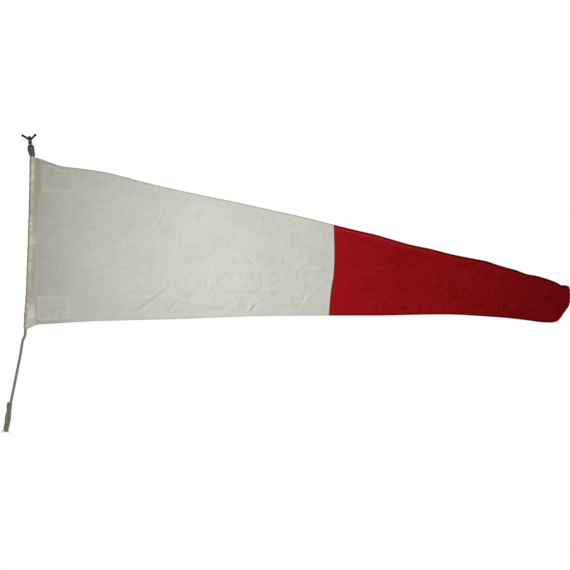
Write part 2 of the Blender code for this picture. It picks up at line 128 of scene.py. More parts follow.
# Tail line as (x, z), and the eye at its end as (x, z, share of the rope's radius)
TAIL_ROUTE = in_metres([
    (-15.4, -656), (-15.6, -669), (-16.2, -676), (-16.8, -686), (-21.5, -696.5), (-25.4, -706),
    (-28.8, -727), (-33.9, -759), (-40.2, -790), (-46.6, -822), (-52.9, -854), (-59.2, -885), (-66, -917)])
TAIL_NECK = 0.78  # share of its radius that the rope keeps where it is spliced and seized
TAIL_EYE_ROUTE = in_metres([
    (-65.5, -914, 1), (-67.2, -924, 0.84), (-68, -930, TAIL_NECK), (-68.8, -943, TAIL_NECK),
    (-69.6, -954, 0.92), (-70.6, -965, 1.02), (-71.4, -976.5, 1.10), (-73.7, -990.5, 1.04),
    (-76.5, -1004.6, 1), (-79, -1013, 1), (-80.3, -1019, 1), (-83.5, -1022, 1), (-86.8, -1019, 1),
    (-88, -1013, 1), (-85.6, -1004.6, 1), (-83.8, -990.5, 1.04), (-82.1, -976.5, 1.10), (-80, -965, 1.02),
    (-77.9, -954, 0.9), (-76.6, -943, TAIL_NECK), (-75.8, -930, TAIL_NECK), (-75.2, -920, TAIL_NECK)])
ROPE_RADIUS = 5.2 * MM
ROPE_LAY = 25 * MM  # length of one full turn of the three strands

# Head of the bolt rope, served and seized round the clip's eye
HEAD_ROUTE = in_metres([
    (5.6, -76), (5.5, -66), (4.6, -59), (3, -53), (0.8, -46), (-1.4, -39), (-3.4, -32), (-4.1, -26.9),
    (-3.5, -24.2), (-2, -21.8), (3.2, -19.65), (8.4, -21.8), (9.9, -24.2), (10.5, -26.9), (10.4, -32),
    (10.8, -39), (11.8, -46), (12.8, -53), (14.3, -60)])
HEAD_RADIUS = 4.5 * MM
SERVICE_PITCH = 1.7 * MM
SEIZING_TOP = -0.0318
SEIZING_FOOT = -0.0550
TAIL_SEIZING_TOP = -0.9250
TAIL_SEIZING_FOOT = -0.9460
TWINE_RADIUS = 0.75 * MM

# Painted highlights on the heading: height, reach up and down, how far from the rope, half width, how much
# lighter
PAINTED_HIGHLIGHTS = in_metres([
    (-100, 50, 7, 4.5, 0.62), (-155, 30, 3, 5, 0.20), (-300, 30, 4, 5, 0.30), (-355, 35, 12, 12, 0.36),
    (-440, 30, 4, 6, 0.15), (-515, 20, 9, 5, 0.22), (-610, 26, 18, 9, 0.80), (-640, 18, 8, 7, 0.30)],
    places=4)
# How light the flat part of the heading is, by height
FLAT_TONE = in_metres([
    (-660, 0.55), (-600, 0.55), (-550, 0.42), (-350, 0.36), (-210, 0.34), (-170, 0.26), (-50, 0.26)],
    places=1)

# Black cord through the clip's ring
HANG_ROUTE = in_metres([
    (-20.5, 12), (-14, 8.2), (-9, 5.1), (-5, 2), (-1, 1.6), (2.5, 1.7), (5.2, 2.6), (8.5, 6.2), (12, 9.8),
    (15, 13)])
HANG_RADIUS = 3.55 * MM

HEADING_SEWN = 0.57  # length of the heading's rows of stitches
STITCH_PITCH = 4.2 * MM
STITCH_LENGTH = 3.1 * MM
STITCH_RADIUS = 0.32 * MM
# Places along a stitch, as a share of its length, and the share of its radius that it has there
STITCH_SHAPE = [(-0.5, 0.15), (-0.36, 0.8), (0.0, 1.0), (0.36, 0.8), (0.5, 0.15)]

VIEW_CENTRE = (0.8954, -0.5097)  # the (x, z) that the camera looks at
VIEW_WIDTH = 2.0007  # how much of the flag's plane the picture spans


# --- numbers


def smooth_between(x, low, high):
    t = np.clip((x - low) / (high - low), 0, 1)
    return t * t * (3 - 2 * t)


def hump(x, centre, width):
    return np.exp(-((x - centre) / width) ** 2)


def stacked(*parts):
    """One array of several, which become the columns of its last axis."""
    return np.stack(parts, axis=-1)


def unit(vectors):
    return vectors / np.linalg.norm(vectors, axis=-1, keepdims=True)


def height_at(edge, x):
    """The z of an edge of (x, z) points in order of x, smoothly at any x."""
    px, pz = np.array(edge).T
    slope = np.gradient(pz, px)
    i = np.clip(np.searchsorted(px, x) - 1, 0, len(px) - 2)
    width = px[i + 1] - px[i]
    t = (x - px[i]) / width
    return ((2 * t**3 - 3 * t**2 + 1) * pz[i] + (t**3 - 2 * t**2 + t) * width * slope[i]
            + (3 * t**2 - 2 * t**3) * pz[i + 1] + (t**3 - t**2) * width * slope[i + 1])


def edges_at(x):
    """The z of the flag's foot and of its top."""
    return height_at(FOOT_EDGE, x), height_at(TOP_EDGE, x)


def resample(points, count=None, step=None):
    """Evenly spaced points on a smooth curve through the given ones, of any dimension."""
    p = np.array(points, float)
    last = len(p) - 1
    t = np.linspace(0, last, 40 * last + 1)
    i = np.minimum(t.astype(int), last - 1)
    f = (t - i)[:, None]
    a, b, c, d = (p[np.clip(i + k, 0, last)] for k in (-1, 0, 1, 2))
    fine = 0.5 * (2 * b + (c - a) * f + (2 * a - 5 * b + 4 * c - d) * f**2 + (3 * b - 3 * c + d - a) * f**3)
    run = run_of(fine[:, :2])
    count = count or max(2, int(round(run[-1] / step)) + 1)
    even = np.linspace(0, run[-1], count)
    return np.stack([np.interp(even, run, fine[:, k]) for k in range(p.shape[1])], axis=1)


def run_of(path):
    """How far along a path each of its points is."""
    return np.concatenate([[0], np.cumsum(np.linalg.norm(np.diff(path, axis=0), axis=1))])


def in_space(points):
    p = np.asarray(points, float)
    return stacked(p[:, 0], np.zeros(len(p)), p[:, 1])


def on_line(ends, v):
    (x0, _), (x1, _) = ends
    return x0 + (x1 - x0) * v


def line_x(line, z):
    """The x of a line of (x, z) points, in order of z, at a height."""
    return np.interp(z, [p[1] for p in line], [p[0] for p in line])


def unit_grid(columns, rows):
    """Grids of u and v, which run from 0 to 1 along the rows and up the columns."""
    return np.meshgrid(np.linspace(0, 1, columns), np.linspace(0, 1, rows))


# --- the cloth's surface


def belly(x, z):
    """The broad wave of the flag, level along the heading and along the seam's fold."""
    foot, top = edges_at(x)
    v = (z - foot) / np.maximum(top - foot, 0.01)
    at_heading = on_line(HEADING_LINE, v)
    at_seam = on_line(SEAM_FOLD, v)
    s = np.clip((x - at_heading) / (at_seam - at_heading), 0, 1)
    r = np.clip((x - at_seam) / (on_line(FLY_LINE, v) - at_seam), 0, 1.1)
    white = WHITE_BELLY * np.sin(np.pi * s) ** 2 * np.sin(2.3 * np.pi * s + 0.9 * v)
    red = RED_BELLY * smooth_between(2 * r, 0, 1) * np.sin(2.1 * np.pi * r - 0.8 * v)
    return np.where(x < at_seam, white, red)


def small_creases():
    """Short shallow creases scattered over the flag, more of them towards the foot and the fly."""
    rng = np.random.default_rng(RANDOM_SEED)
    found = []
    for _ in range(SMALL_CREASES):
        x = 0.08 + 1.76 * rng.random() ** 0.8
        foot, top = edges_at(x)
        z = foot + (top - foot) * (0.03 + 0.94 * rng.random() ** 1.3)
        half = rng.uniform(0.012, 0.055)
        turn = rng.normal(0.0, 0.55) if x > FLY_HALF else rng.uniform(-1.5, 1.5)
        size = rng.choice((-1, 1)) * rng.uniform(0.2, 0.6) * (1.5 if x > FLY_HALF else 1)
        found.append((x - half * math.cos(turn), z - half * math.sin(turn),
                      x + half * math.cos(turn), z + half * math.sin(turn), size, rng.uniform(4, 8)))
    return found


ALL_CREASES = CREASES + small_creases()


def hem_puckers(x, z):
    """The uneven waves that the hems' stitching draws up in the cloth beside it."""
    foot, top = edges_at(x)
    waves = np.sin(240 * x + 5 * np.sin(17 * x)) + np.sin(157 * x + 7 * np.sin(11 * x + 1))
    waves *= 0.6 + 0.6 * np.sin(29 * x + 2 * np.sin(7 * x))
    return HEM_PUCKER * waves * (hump(z, top, 1.3 * TOP_HEM) + 0.7 * hump(z, foot, 0.8 * FOOT_HEM))


def crease_relief(x, z):
    """How far creases and dents stand out towards the back, over arrays of places."""
    out = hem_puckers(x, z) * smooth_between(x, 0.10, 0.20) * smooth_between(np.abs(x - 1.07), 0.02, 0.06)
    for x0, z0, x1, z1, size, width in ALL_CREASES:
        length = math.hypot(x1 - x0, z1 - z0)
        ux, uz = (x1 - x0) / length, (z1 - z0) / length
        reach = length / 2 + 0.04
        near = (np.abs(x - (x0 + x1) / 2) < reach) & (np.abs(z - (z0 + z1) / 2) < reach)
        if not near.any():
            continue
        dx, dz = x[near] - x0, z[near] - z0
        along = (dx * ux + dz * uz) / length
        across = (dx * uz - dz * ux) + 0.004 * np.sin(3 * along)
        fade = smooth_between(along, -0.2, 0.3) * smooth_between(-along, -1.2, -0.7)
        out[near] -= size * MM * fade * np.exp(-(across / (width * MM)) ** 2)
    foot, top = edges_at(x)
    return out * (0.4 + 0.6 * smooth_between(np.minimum(z - foot, top - z), 0.0, 1.2 * FOOT_HEM))


def sewn_gathers(x, z):
    """Small gathers where the hems and the seam are sewn."""
    foot, top = edges_at(x)
    low, high = z - foot, top - z
    seam = x - line_x(SEAM_LINE, z)
    more = 1 + 0.8 * smooth_between(x, 1.05, 1.12)
    turn = 2 * np.pi
    ripple = np.sin(turn * x / 0.0235 + 2.0 * np.sin(x * 31)) + 0.6 * np.sin(turn * x / 0.0137 + 1.0)
    upright = np.sin(turn * z / 0.031 + 2.0 * np.sin(z * 23)) + 0.5 * np.sin(turn * z / 0.0171)
    return MM * (0.28 * more * ripple * (hump(low, FOOT_HEM, 0.012) + hump(high, TOP_HEM, 0.010))
                 + 0.32 * upright * hump(seam, -0.006, 0.022))


def broad_relief(x, z):
    """Soft dents a hand's breadth across, none of them at the fold lines."""
    calm = smooth_between(np.abs(x - 1.066), 0.01, 0.09) * smooth_between(x, 0.04, 0.13)
    wave = (np.sin(x * 33 + z * 19) * np.sin(z * 27 - x * 8 + 1) + 0.7 * np.sin(x * 57 - z * 41 + 2)
            * np.sin(z * 49 + x * 13))
    return 0.9 * MM * calm * wave


def cloth_depth(x, z):
    calm = smooth_between(x, 0.042, 0.075)
    return belly(x, z) + calm * (crease_relief(x, z) + sewn_gathers(x, z)) + broad_relief(x, z)


def cloth_frame(x, z):
    """Points on the middle of the cloth and the directions square to it, towards the back."""
    step = 1.0 * MM
    y = cloth_depth(x, z)
    slope_x = (cloth_depth(x + step, z) - y) / step
    slope_z = (cloth_depth(x, z + step) - y) / step
    size = np.sqrt(1 + slope_x**2 + slope_z**2)[..., None]
    return stacked(x, y, z), stacked(-slope_x, np.ones_like(x), -slope_z) / size


# --- meshes


def new_mesh(name, verts, faces, slot_name, uv, tone, tint=0.0):
    """A smooth mesh object. uv is in metres of cloth.

    Two shades are kept at its points for the material: tone runs from 0, dark, to 1, light, and holds painted
    shade and painted highlights too; tint runs from -1, soiled brown, which also stands for painted shade, to
    1, aged yellow.
    """
    verts = np.asarray(verts, float).reshape(-1, 3)
    mesh = bpy.data.meshes.new(name)
    mesh.from_pydata(verts.tolist(), [], [tuple(int(k) for k in f) for f in faces])
    mesh.polygons.foreach_set("use_smooth", [True] * len(mesh.polygons))
    corners = np.empty(len(mesh.loops), np.int64)
    mesh.loops.foreach_get("vertex_index", corners)
    layer = mesh.uv_layers.new(name="cloth")
    layer.data.foreach_set("uv", np.asarray(uv, np.float32).reshape(-1, 2)[corners].ravel())
    for attribute, value in (("tone", tone), ("tint", tint)):
        shade = np.broadcast_to(np.asarray(value, np.float32).ravel(), (len(verts),))
        mesh.attributes.new(attribute, "FLOAT", "POINT").data.foreach_set("value", shade.copy())
    obj = bpy.data.objects.new(name, mesh)
    bpy.context.scene.collection.objects.link(obj)
    mesh.materials.append(MATERIALS[slot_name])
    return obj


def stand_in(piece, node_name, body=None):
    """Show a piece in place of a CAD node, riding on a body if one is given."""
    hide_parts(node_name)
    if body:
        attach(piece, body)
    return piece


def grid_faces(rows, columns, start=0, wrap=False, flip=False):
    """Quads of a grid whose point (r, c) is number start + r * columns + c.

    wrap joins its last column to its first."""
    row = start + columns * np.arange(rows - 1)[:, None]
    c = np.arange(columns if wrap else columns - 1)[None, :]
    n = (c + 1) % columns
    quads = stacked(row + c, row + n, row + columns + n, row + columns + c).reshape(-1, 4)
    return quads[:, ::-1] if flip else quads


def tube_faces(rings, around, flip=False):
    """Faces of a tube of rings, with a flat face on each end."""
    ends = (range(around)[::-1], range((rings - 1) * around, rings * around))
    return [*grid_faces(rings, around, wrap=True, flip=flip), *(end[::-1] if flip else end for end in ends)]


def closed_sheet(name, x, z, front_off, back_off, slot_name, tone, tint):
    """A thin closed sheet laid on the cloth: x and z are grids, from foot to top and from hoist to fly."""
    rows, columns = x.shape
    middle, out = cloth_frame(x, z)
    front = middle + out * np.broadcast_to(front_off, x.shape)[..., None]
    back = middle + out * np.broadcast_to(back_off, x.shape)[..., None]
    n = rows * columns
    number = np.arange(n).reshape(rows, columns)
    ring = np.concatenate([number[0], number[1:, -1], number[-1, -2::-1], number[-2:0:-1, 0]])
    following = np.roll(ring, -1)
    faces = np.concatenate([grid_faces(rows, columns), grid_faces(rows, columns, n, flip=True),
                            stacked(following, ring, ring + n, following + n)])
    uv = stacked(x.ravel(), z.ravel())
    tone, tint = (np.tile(np.broadcast_to(shade, x.shape).ravel(), 2) for shade in (tone, tint))
    verts = np.concatenate([front.reshape(-1, 3), back.reshape(-1, 3)])
    return new_mesh(name, verts, faces, slot_name, np.concatenate([uv, uv + 0.37]), tone, tint)


def sweep(path, section):
    """Rings of points along a path. section(i, run) gives (across, out) pairs in metres at its point i."""
    p = np.asarray(path)
    tangent = unit(np.gradient(p, axis=0))
    run = run_of(p)
    side = np.array([0.0, 1.0, 0.0])
    rings = []
    for i, t in enumerate(tangent):
        side = unit(side - t * side.dot(t))
        pairs = section(i, run[i])
        rings.append(p[i] + pairs[:, :1] * np.cross(t, side) + pairs[:, 1:] * side)
    return np.array(rings)


def polar(radius, angle):
    return stacked(radius * np.cos(angle), radius * np.sin(angle))


def round_angles(sides):
    return np.linspace(0, 2 * np.pi, sides, endpoint=False)


def tube_mesh(name, path, section, slot_name, tone):
    """A closed tube along a path. tone has a shade for each point of each ring."""
    rings = sweep(path, section)
    count, around = rings.shape[:2]
    u, v = np.meshgrid(np.linspace(0, 1, around, endpoint=False) * 0.025, run_of(path))
    return new_mesh(name, rings, tube_faces(count, around), slot_name, stacked(u, v), tone)


def end_taper(run, whole, reach, least):
    """Share of its radius that a rope has near its rounded-off ends."""
    end = np.minimum(run, whole - run) / reach
    return np.where(end < 1, least + (1 - least) * np.sqrt(np.clip(1 - (1 - end) ** 2, 0, 1)), 1.0)


def laid_rope(name, path, shares, radius, least):
    """Three-strand rope along a path: three round lobes that turn with the lay, each of twisted yarns."""
    run = run_of(path)
    angle = round_angles(36)
    strand = 0.52 * radius
    centre = radius - strand
    lobe = np.full(36, 0.80 * radius)
    for k in range(3):
        apart = (angle - 2 * np.pi * k / 3 + np.pi) % (2 * np.pi) - np.pi
        inside = strand**2 - (centre * np.sin(apart)) ** 2
        reach = centre * np.cos(apart) + np.sqrt(np.maximum(inside, 0))
        lobe = np.maximum(lobe, np.where((inside > 0) & (np.cos(apart) > 0), reach, 0))
    depth = (lobe - lobe.min()) / (lobe.max() - lobe.min())
    size = shares * end_taper(run, run[-1], radius, least)

    def section(i, at):
        yarns = 1 + 0.014 * np.sin(12 * angle - 2 * np.pi * at / (4.5 * MM))
        wear = 1 + 0.02 * math.sin(at * 160) + 0.015 * math.sin(at * 410 + 1)
        return polar(size[i] * wear * yarns * lobe, angle + 2 * np.pi * at / ROPE_LAY)

    # Painted shade: the tone is darker in the grooves between the strands
    return tube_mesh(name, path, section, "hemp_rope", np.tile(0.12 + 0.5 * depth**0.7, (len(path), 1)))


def merged(name, pieces, slot_name, tone=0.5, tint=0.0):
    """One mesh of several (verts, faces) pairs."""
    verts, faces, count = [], [], 0
    for v, f in pieces:
        verts.append(np.asarray(v).reshape(-1, 3))
        faces += [[k + count for k in face] for face in f]
        count += len(verts[-1])
    verts = np.concatenate(verts)
    return new_mesh(name, verts, faces, slot_name, verts[:, [0, 2]], tone, tint)


def ring_tube(points, radius, sides=8):
    """(verts, faces) of a closed loop of twine through the given points."""
    p = np.asarray(points)
    tangent = unit(np.roll(p, -1, axis=0) - np.roll(p, 1, axis=0))
    out = unit(np.cross(tangent, [0.03, 0.02, 1.0]))
    rise = np.cross(out, tangent)
    a = round_angles(sides)[None, :, None]
    rings = p[:, None, :] + radius * (np.cos(a) * out[:, None, :] + np.sin(a) * rise[:, None, :])
    return rings.reshape(-1, 3), grid_faces(len(p) + 1, sides, wrap=True) % (len(p) * sides)


# --- materials


def node(tree, kind, **values):
    """A new shader node. A value named in_Something is an input's; any other is a property."""
    made = tree.nodes.new("ShaderNode" + kind)
    for key, value in values.items():
        if key.startswith("in_"):
            made.inputs[key[3:].replace("_", " ")].default_value = value
        else:
            setattr(made, key, value)
    return made


def plug(tree, value, socket):
    if isinstance(value, bpy.types.NodeSocket):
        tree.links.new(value, socket)
    else:
        socket.default_value = value


def mix(tree, factor, first, second):
    """The colour of a mix, given sockets or plain values."""
    made = node(tree, "Mix", data_type="RGBA")
    for index, value in ((0, factor), (6, first), (7, second)):
        plug(tree, (*value, 1) if isinstance(value, tuple) else value, made.inputs[index])
    return made.outputs[2]


def ramp(tree, value, low, high, out_low=0.0, out_high=1.0):
    made = node(tree, "MapRange")
    for index, number in enumerate((value, low, high, out_low, out_high)):
        plug(tree, number, made.inputs[index])
    return made.outputs[0]


def stretched(tree, across, along, turn):
    """The cloth's own coordinates, in metres, scaled and turned."""
    mapping = node(tree, "Mapping", in_Scale=(across, along, 1), in_Rotation=(0, 0, turn))
    tree.links.new(node(tree, "UVMap", uv_map="cloth").outputs["UV"], mapping.inputs["Vector"])
    return mapping.outputs["Vector"]


def noise(tree, across, along, detail, roughness, turn=0.0):
    """Noise laid on the cloth, with about this many blots in a metre across it and along it."""
    made = node(tree, "TexNoise", in_Scale=1.0, in_Detail=detail, in_Roughness=roughness)
    tree.links.new(stretched(tree, across, along, turn), made.inputs["Vector"])
    return made.outputs["Fac"]


def threads(tree, pitch, turn=0.0):
    """Ridges one thread apart. A wave texture repeats 20 times in 2 pi of its coordinate."""
    scale = 2 * math.pi / (20 * pitch)
    made = node(tree, "TexWave", wave_type="BANDS", bands_direction="X", in_Scale=1.0,
                in_Distortion=0.6)
    tree.links.new(stretched(tree, scale, scale, turn), made.inputs["Vector"])
    return made.outputs["Fac"]


def add(tree, first, second, weight=1.0):
    made = node(tree, "Math", operation="MULTIPLY_ADD")
    for index, value in enumerate((second, weight, first)):
        plug(tree, value, made.inputs[index])
    return made.outputs[0]


def shader_input(tree, name):
    return tree.nodes["Principled BSDF"].inputs[name]


def start_material(name, roughness, metallic=0.0, specular=0.3, sheen=0.0):
    made = bpy.data.materials.new(name)
    made.use_nodes = True
    for key, value in (("Roughness", roughness), ("Metallic", metallic), ("Specular IOR Level", specular),
                       ("Sheen Weight", sheen)):
        shader_input(made.node_tree, key).default_value = value
    return made, made.node_tree


def finish_material(made, colour, height, distance):
    """Connect a material's colour and its bump, in metres, and return it."""
    tree = made.node_tree
    raised = node(tree, "Bump", in_Distance=distance)
    tree.links.new(height, raised.inputs["Height"])
    tree.links.new(raised.outputs["Normal"], shader_input(tree, "Normal"))
    tree.links.new(colour, shader_input(tree, "Base Color"))
    return made


def attribute(tree, name):
    return node(tree, "Attribute", attribute_name=name).outputs["Fac"]


def woven(name, shadow, light, soil_and_shade, aged, pitch, slub, wrinkled, roughness, specular, relief):
    """Plain-woven cloth: crossing threads, thick threads, blotches, fine wrinkles as bumps and as painted
    shade and light, and the mesh's shades.
    """
    made, tree = start_material(name, roughness, specular=specular)
    weft_slubs = noise(tree, 14, 330, 4.0, 0.6)
    warp_slubs = noise(tree, 330, 11, 3.0, 0.6)
    blotch = noise(tree, 6.5, 9, 4.0, 0.55)
    fleck = noise(tree, 75, 75, 5.0, 0.65)
    wrinkles = add(tree, noise(tree, 22, 60, 2.0, 0.5, 0.3), noise(tree, 75, 30, 2.0, 0.5, -0.15))
    tint = attribute(tree, "tint")
    colour = mix(tree, attribute(tree, "tone"), shadow, light)
    # Wrinkle rows paint the fine wrinkles' shade and light; tint rows turn the colour towards soil and
    # painted shade, and towards aged yellow
    for amount, none_at, most_at, most, other in (
            (wrinkles, 1.0, 1.35, wrinkled, shadow), (wrinkles, 0.95, 0.65, wrinkled, light),
            (blotch, 0.42, 0.72, 0.20, shadow), (weft_slubs, 0.50, 0.75, slub, light),
            (weft_slubs, 0.45, 0.25, slub, shadow), (warp_slubs, 0.46, 0.28, slub, shadow),
            (fleck, 0.52, 0.80, 0.25, shadow), (tint, 0.0, -1.0, 1.0, soil_and_shade), (tint, 0.0, 1.0, 1.0, aged)):
        colour = mix(tree, ramp(tree, amount, none_at, most_at, 0.0, most), colour, other)
    height = add(tree, threads(tree, pitch), threads(tree, pitch, math.pi / 2))
    height = add(tree, add(tree, height, weft_slubs, 2.0), warp_slubs, 1.2)
    height = add(tree, height, wrinkles, 25 * wrinkled)
    return finish_material(made, colour, add(tree, height, fleck, 2.4), relief)


def stranded(name, dark, light, roughness, relief):
    """Rope, cord or twine: colour by the mesh's tone, which holds painted shade in the grooves, fine fibres
    along it, and worn and dirty lengths.
    """
    made, tree = start_material(name, roughness, specular=0.15, sheen=0.05)
    fibre = noise(tree, 2600, 260, 3.0, 0.6, 0.5)
    worn = noise(tree, 60, 45, 4.0, 0.6)
    colour = mix(tree, attribute(tree, "tone"), dark, light)
    colour = mix(tree, ramp(tree, fibre, 0.40, 0.72, 0.0, 0.5), colour, light)
    colour = mix(tree, ramp(tree, worn, 0.45, 0.75, 0.0, 0.6), colour, dark)
    return finish_material(made, colour, add(tree, fibre, worn, 0.5), relief)


def cast_metal(name):
    """Dull cast metal: grey-green film over a brighter base, rubbed in patches, with a sand-cast grain."""
    made, tree = start_material(name, 0.42, metallic=0.85, specular=0.5)
    where = node(tree, "TexCoord").outputs["Object"]

    def grain(scale, detail):
        texture = node(tree, "TexNoise", in_Scale=scale, in_Detail=detail)
        tree.links.new(where, texture.inputs["Vector"])
        return texture.outputs["Fac"]

    patches, pits = grain(230, 5.0), grain(900, 3.0)
    colour = mix(tree, ramp(tree, patches, 0.42, 0.62), (0.095, 0.105, 0.11), (0.28, 0.29, 0.295))
    colour = mix(tree, ramp(tree, pits, 0.55, 0.75, 0.0, 0.6), colour, (0.03, 0.033, 0.033))
    tree.links.new(ramp(tree, patches, 0.35, 0.7, 0.6, 0.34), shader_input(tree, "Roughness"))
    return finish_material(made, colour, add(tree, patches, pits, 0.6), 0.0004)


def make_materials():
    # Colours in shadow, in light, soiled (also standing for painted shade) and aged, then thread pitch, how
    # strong the thick threads and the wrinkles (bumps and painted shade) are, roughness, specular and depth
    # of the bump
    made = {name: woven(name, *looks) for name, *looks in (
        ("white_bunting", (0.50, 0.495, 0.435), (0.77, 0.775, 0.72), (0.20, 0.155, 0.095), (0.69, 0.68, 0.56),
         1.3 * MM, 0.16, 0.22, 0.92, 0.15, 0.00013),
        ("red_bunting", (0.21, 0.0075, 0.0005), (0.535, 0.008, 0.0205), (0.075, 0.004, 0.004),
         (0.66, 0.035, 0.070), 1.3 * MM, 0.20, 0.34, 0.95, 0.0, 0.00014),
        ("heading_canvas", (0.36, 0.315, 0.225), (0.95, 0.92, 0.77), (0.13, 0.115, 0.085), (0.50, 0.49, 0.31),
         1.6 * MM, 0.22, 0.14, 0.55, 0.45, 0.0002))}
    # Colours in the painted shade between the strands and on them, roughness and depth of the bump
    made.update({name: stranded(name, *looks) for name, *looks in (
        ("hemp_rope", (0.17, 0.15, 0.11), (0.58, 0.54, 0.43), 0.95, 0.00025),
        ("dark_twine", (0.030, 0.043, 0.044), (0.27, 0.25, 0.20), 0.8, 0.0002),
        ("black_cord", (0.001, 0.001, 0.001), (0.006, 0.006, 0.007), 0.9, 0.0002))})
    made["cast_metal"] = cast_metal("cast_metal")
    return made


# --- bunting


def half_grid(columns, rows, hoist_x, fly_x):
    """Grids (s, v, x, z) over half of the flag, between the (foot, top) x of its hoist and of its fly side.

    s runs from 0 at the hoist side to 1 at the fly side, and v from the foot to the top."""
    s, v = unit_grid(columns, rows)
    foot_x, top_x = (hoist_x[k] * (1 - s) + fly_x[k] * s for k in (0, 1))
    foot_z, top_z = height_at(FOOT_EDGE, foot_x), height_at(TOP_EDGE, np.maximum(top_x, TOP_EDGE[0][0]))
    return s, v, foot_x + (top_x - foot_x) * v, foot_z + (top_z - foot_z) * v


def seam_curve(v, z):
    """How far the curved seam stands towards the fly from a straight line between its ends."""
    return line_x(SEAM_LINE, z) - on_line((SEAM_FOOT, SEAM_TOP), v)


def white_grid(columns, rows):
    """Grids of x and z over the white half, its last column on the curved seam."""
    hidden = 6 * MM
    hoist_x = [end[0] - hidden for end in HEADING_LINE]
    s, v, x, z = half_grid(columns, rows, hoist_x, (SEAM_FOOT[0], SEAM_TOP[0]))
    return x + seam_curve(v, z) * smooth_between(s, 0.8, 1.0), z


def red_grid(columns, rows):
    """Grids of x and z over the red half, from the curved seam to the rounded fly."""
    foot, top = FLY_EDGE[0], FLY_EDGE[-1]
    s, v, x, z = half_grid(columns, rows, (SEAM_FOOT[0], SEAM_TOP[0]), (foot[0], top[0]))
    x += seam_curve(v, z) * (1 - smooth_between(s, 0.0, 0.25))
    fly = resample(FLY_EDGE, count=rows)
    reach = smooth_between(s, 0.84, 1.0)
    x += (fly[:, :1] - (foot[0] + (top[0] - foot[0]) * v)) * reach
    z += (fly[:, 1:] - (foot[1] + (top[1] - foot[1]) * v)) * reach
    return x, z


def crease_shade(x, z):
    """Painted light and shade of the creases: one side of each lighter and the other darker, and their
    hollows painted darker.
    """
    side = 1.6 * MM
    rise = crease_relief(x - side, z + 0.6 * side) - crease_relief(x + side, z - 0.6 * side)
    return 380 * rise - 130 * np.maximum(crease_relief(x, z), 0)


def white_tone(x, z):
    """Darker by the heading, partly painted shade where the light falls off and partly soiling, darker along
    the hems, and the creases' painted shade.
    """
    foot, top = edges_at(x)
    # Painted shade towards the heading, where the light falls off, together with some soiling
    tone = 0.60 - 0.42 * np.exp(-(x - 0.03) / 0.16)
    tone -= 0.10 * np.exp(-(z - foot) / 0.03) + 0.06 * np.exp(-(top - z) / 0.02)
    return np.clip(tone + crease_shade(x, z), 0, 1)


def white_tint(x, z):
    """Browner and darker along the cut edges, partly soil and partly painted shade, and a little yellow over
    the hems.
    """
    foot, top = edges_at(x)
    yellow = 0.25 * hump(z - foot, 0.6 * FOOT_HEM, 0.4 * FOOT_HEM)
    yellow += 0.2 * hump(top - z, 0.6 * TOP_HEM, 0.4 * TOP_HEM)
    return yellow - edge_soil_and_shade(x, z, 0.45, 0.08, 0)


def edge_soil_and_shade(x, z, at_top, at_foot, inset):
    """How much soil and painted shade the cloth has a little inside its top and foot edges."""
    foot, top = edges_at(x)
    return at_top * hump(z, top - inset, EDGE_SOIL_AND_SHADE_WIDTH) + at_foot * hump(z, foot + inset, EDGE_SOIL_AND_SHADE_WIDTH)


def red_tone(x, z):
    """Lighter along the hems and at the head of the fly, with the creases' painted shade."""
    foot, top = edges_at(x)
    tone = 0.55 + 0.06 * np.exp(-(z - foot) / 0.02)
    tone += 0.16 * smooth_between(top - z, 1.4 * TOP_HEM, 0.6 * TOP_HEM)
    tone += (0.06 + 0.4 * (z - foot)) * smooth_between(x, 1.62, 1.86)
    return np.clip(tone + 0.65 * crease_shade(x, z), 0, 1)


def along_edge(edge, start_x, end_x):
    x = np.linspace(start_x, end_x, int(abs(end_x - start_x) / (2.6 * MM)) + 2)
    return stacked(x, height_at(edge, x))


def shifted(line, distance):
    """A line moved to its left, as seen from the front, by a distance."""
    p = np.asarray(line, float)
    along = unit(np.gradient(p, axis=0))
    return p + stacked(-along[:, 1], along[:, 0]) * distance


def hem(name, node_name, edge, width, slot_name, tone, soil_and_shade, right=False):
    """The folded part of a hem: a lip over the front of the edge, the roll, and the layer sewn down behind.

    edge is a line of (x, z) points with the cloth on its left as seen from the front, or on its right."""
    half = BUNTING / 2
    section = [(1.5 * MM, 0.2 * half), (1.5 * MM, -half - 0.1 * MM), (0.8 * MM, -half - 0.38 * MM),
               (0.0, -half - 0.30 * MM), (-0.55 * MM, 0.0), (0.1 * MM, half + 0.5 * MM)]
    across = np.linspace(1.6 * MM, width - 0.6 * MM, int(width / (3 * MM)))
    section += [(inset, half + 0.8 * MM) for inset in across] + [(width, half + 0.05 * MM)]
    section += [(inset, 0.2 * half) for inset in across[::-1]]
    lines, marks = [], []
    for inset, off in section:
        line = shifted(edge, -inset if right else inset)
        middle, out = cloth_frame(line[:, 0], line[:, 1])
        lines.append(middle + out * off)
        # Browner and darker at the roll of the edge: partly soil, partly painted shade
        marks.append(-soil_and_shade * math.exp(-((inset + 0.3 * MM) / (1.2 * MM)) ** 2))
    verts = np.stack(lines, axis=1)
    n, m = verts.shape[:2]
    u = np.tile(run_of(np.asarray(edge))[:, None], (1, m))
    v = np.tile(np.array([s[0] for s in section]) + 0.011 * np.arange(m), (n, 1))
    return stand_in(new_mesh(name, verts, tube_faces(n, m, flip=right), slot_name, stacked(u, v),
                             tone, np.tile(marks, (n, 1))), node_name)


def patch_place(ranges, u, v):
    """Where a patch's (u, v), each from 0 to 1, lies.

    Its long sides follow the hem, and it leans with the hoist."""
    (x0, x1), (z0, z1) = ranges
    x = x0 + (x1 - x0) * u
    low = np.maximum(z0, height_at(FOOT_EDGE, x) + 0.35 * FOOT_HEM)
    high = np.minimum(z1, height_at(TOP_EDGE, x) - 0.4 * TOP_HEM)
    z = low + (high - low) * v
    return x + HOIST_LEAN * (z - (z0 + z1) / 2), z


